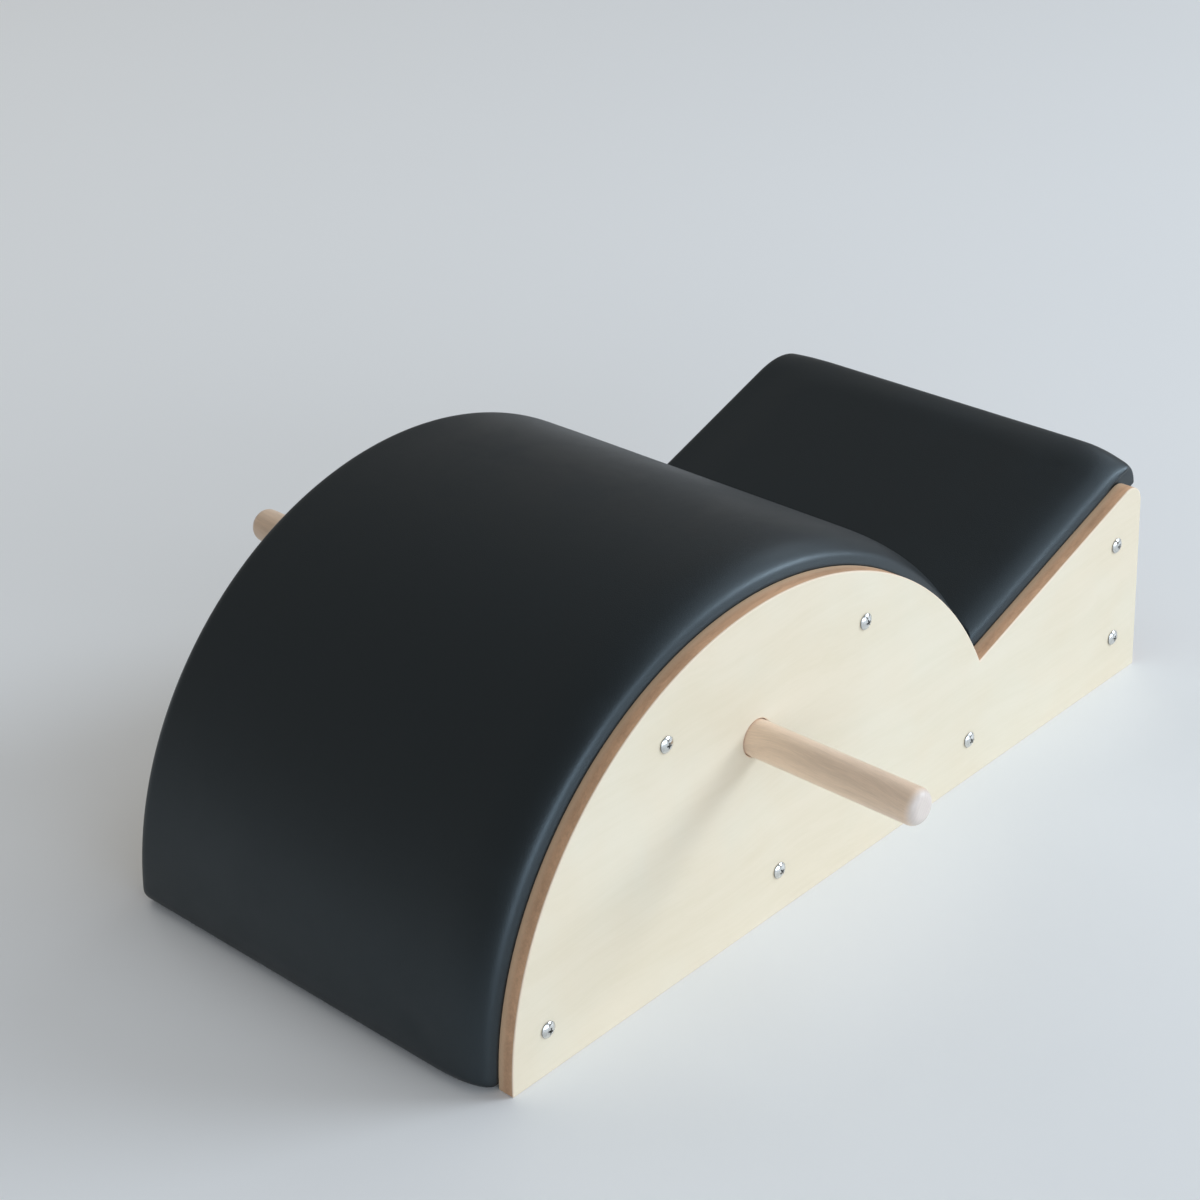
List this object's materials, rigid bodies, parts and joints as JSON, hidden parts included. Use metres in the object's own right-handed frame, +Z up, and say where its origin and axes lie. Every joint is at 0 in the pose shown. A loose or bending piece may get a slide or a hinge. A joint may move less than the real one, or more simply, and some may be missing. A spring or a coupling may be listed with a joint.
{
  "type": "spine corrector",
  "caption": "Padded half-round barrel with a padded sloping step behind it, between plywood side panels, with a pull-out dowel handle on each side.",
  "frame": {"origin": "on the floor, under the middle of the object's box at rest", "axes": "+X along the object from the barrel's front to the step's rear, +Y across it along the handles, +Z up"},
  "size_m": [0.9688, 0.861, 0.3555],
  "materials": {
    "panel_veneer": "pale veneered plywood, matt lacquer, brown edges",
    "batten_softwood": "planed softwood",
    "deck_plywood": "thin bent plywood, unfinished",
    "padding_foam": "firm closed-cell foam",
    "cover_vinyl": "black satin upholstery vinyl, stretched smooth",
    "handle_beech": "turned beech, clear lacquer",
    "screw_steel": "bright zinc-plated, cross recess"
  },
  "bodies": {
    "frame": {"side_panel_near": "panel_veneer", "side_panel_far": "panel_veneer", "front_batten": "batten_softwood", "barrel_front_batten": "batten_softwood", "barrel_rear_batten": "batten_softwood", "barrel_foot_batten": "batten_softwood", "middle_batten": "batten_softwood", "rear_batten": "batten_softwood", "step_batten": "batten_softwood", "step_cleat": "batten_softwood", "barrel_deck": "deck_plywood", "step_deck": "deck_plywood", "barrel_foam": "padding_foam", "step_foam": "padding_foam", "barrel_cover": "cover_vinyl", "step_cover": "cover_vinyl", "handle_socket_near": "batten_softwood", "handle_socket_far": "batten_softwood", "screw_front_near": "screw_steel", "screw_front_far": "screw_steel", "screw_barrel_front_near": "screw_steel", "screw_barrel_front_far": "screw_steel", "screw_barrel_rear_near": "screw_steel", "screw_barrel_rear_far": "screw_steel", "screw_barrel_foot_near": "screw_steel", "screw_barrel_foot_far": "screw_steel", "screw_middle_near": "screw_steel", "screw_middle_far": "screw_steel", "screw_rear_near": "screw_steel", "screw_rear_far": "screw_steel", "screw_step_near": "screw_steel", "screw_step_far": "screw_steel"},
    "near_handle": {"handle_near": "handle_beech"},
    "far_handle": {"handle_far": "handle_beech"}
  },
  "joints": [
    {"name": "near_handle_slide", "type": "slide", "parent": "frame", "child": "near_handle", "axis": [0, -1, 0], "range_m": [0, 0.075]},
    {"name": "far_handle_slide", "type": "slide", "parent": "frame", "child": "far_handle", "axis": [0, 1, 0], "range_m": [0, 0.075]}
  ]
}
